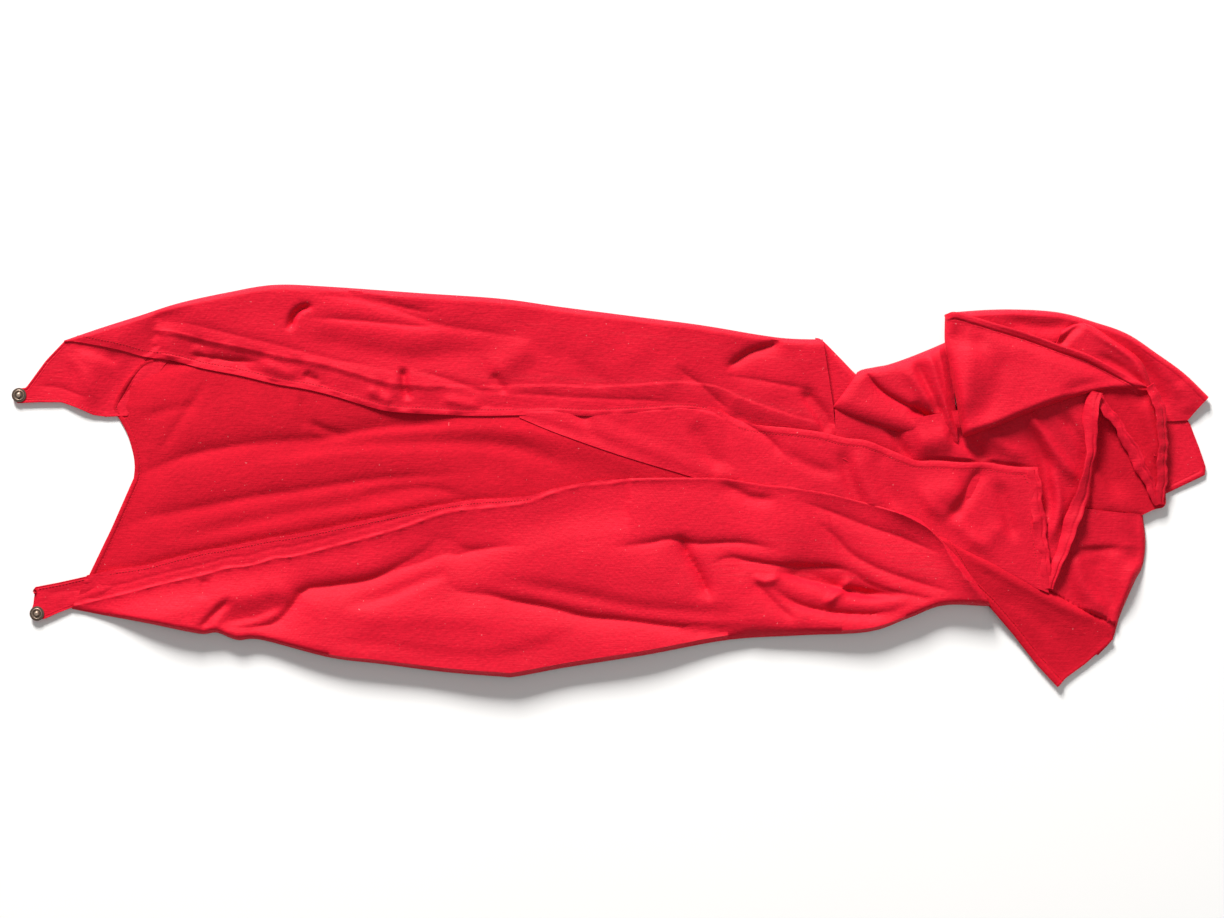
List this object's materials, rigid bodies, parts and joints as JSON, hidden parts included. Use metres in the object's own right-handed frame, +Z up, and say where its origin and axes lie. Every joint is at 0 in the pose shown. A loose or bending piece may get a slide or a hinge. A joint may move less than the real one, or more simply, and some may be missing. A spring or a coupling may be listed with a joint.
{
  "type": "superhero cape",
  "caption": "Costume cape of stretch cloth laid flat, both fronts folded over the back, hem end in loose folds, neck tabs with press studs.",
  "frame": {"origin": "middle of the laid cape's footprint, on the surface it lies on", "axes": "+X along the cape from the neck end to the hem end, +Y to the wearer's left, +Z up"},
  "size_m": [1.3149, 0.4419, 0.0351],
  "materials": {
    "outer_cloth": "bright red stretch knit, right side, soft satin sheen",
    "inner_cloth": "red stretch knit, wrong side, matte",
    "interfacing": "off-white fusible interfacing",
    "snap_metal": "dark antique bronze, polished on its rims"
  },
  "bodies": {
    "cape": {"back_panel": "inner_cloth", "neckline_hem": "inner_cloth", "left_front_flap": "outer_cloth", "left_front_corner": "inner_cloth", "left_corner_front_hem": "inner_cloth", "left_corner_bottom_hem": "inner_cloth", "right_front_flap": "outer_cloth", "right_front_corner": "outer_cloth", "right_corner_front_hem": "inner_cloth", "side_pleat": "outer_cloth", "side_lump": "outer_cloth", "side_ridge": "outer_cloth", "hem_fan": "outer_cloth", "hem_fan_hem": "inner_cloth", "hem_arc_inner": "inner_cloth", "hem_arc_outer": "inner_cloth", "hem_turn": "outer_cloth", "hem_turn_hem": "inner_cloth", "hem_side_fold": "inner_cloth", "hem_inner_panel": "inner_cloth", "hem_twist": "inner_cloth", "hem_valley_folds": "outer_cloth", "hem_lower_fold": "outer_cloth", "left_tab_root": "outer_cloth"},
    "left_front": {"left_front_edge": "outer_cloth", "left_front_facing": "inner_cloth"},
    "right_front": {"right_front_edge": "outer_cloth", "right_front_facing": "inner_cloth"},
    "left_tab": {"left_tab_lower_ply": "outer_cloth", "left_tab_interfacing": "interfacing", "left_tab_upper_ply": "inner_cloth", "left_snap_stud": "snap_metal", "left_snap_cap": "snap_metal"},
    "right_tab": {"right_tab_lower_ply": "outer_cloth", "right_tab_interfacing": "interfacing", "right_tab_upper_ply": "inner_cloth", "right_snap_stud": "snap_metal", "right_snap_cap": "snap_metal"}
  },
  "joints": [
    {"name": "left_front_lift", "type": "hinge", "parent": "cape", "child": "left_front", "pos_m": [-0.2558, 0.1209, 0.0079], "axis": [-0.9937, 0.1118, 0], "range_deg": [0, 75]},
    {"name": "right_front_lift", "type": "hinge", "parent": "cape", "child": "right_front", "pos_m": [-0.1072, -0.0774, 0.0079], "axis": [0.9988, 0.0482, 0], "range_deg": [0, 75]},
    {"name": "left_tab_lift", "type": "hinge", "parent": "cape", "child": "left_tab", "pos_m": [-0.5806, 0.1183, 0.0042], "axis": [-0.4184, 0.9082, 0], "range_deg": [0, 60]},
    {"name": "right_tab_lift", "type": "hinge", "parent": "cape", "child": "right_tab", "pos_m": [-0.5819, -0.1165, 0.0042], "axis": [0.3989, 0.917, 0], "range_deg": [0, 60]}
  ]
}
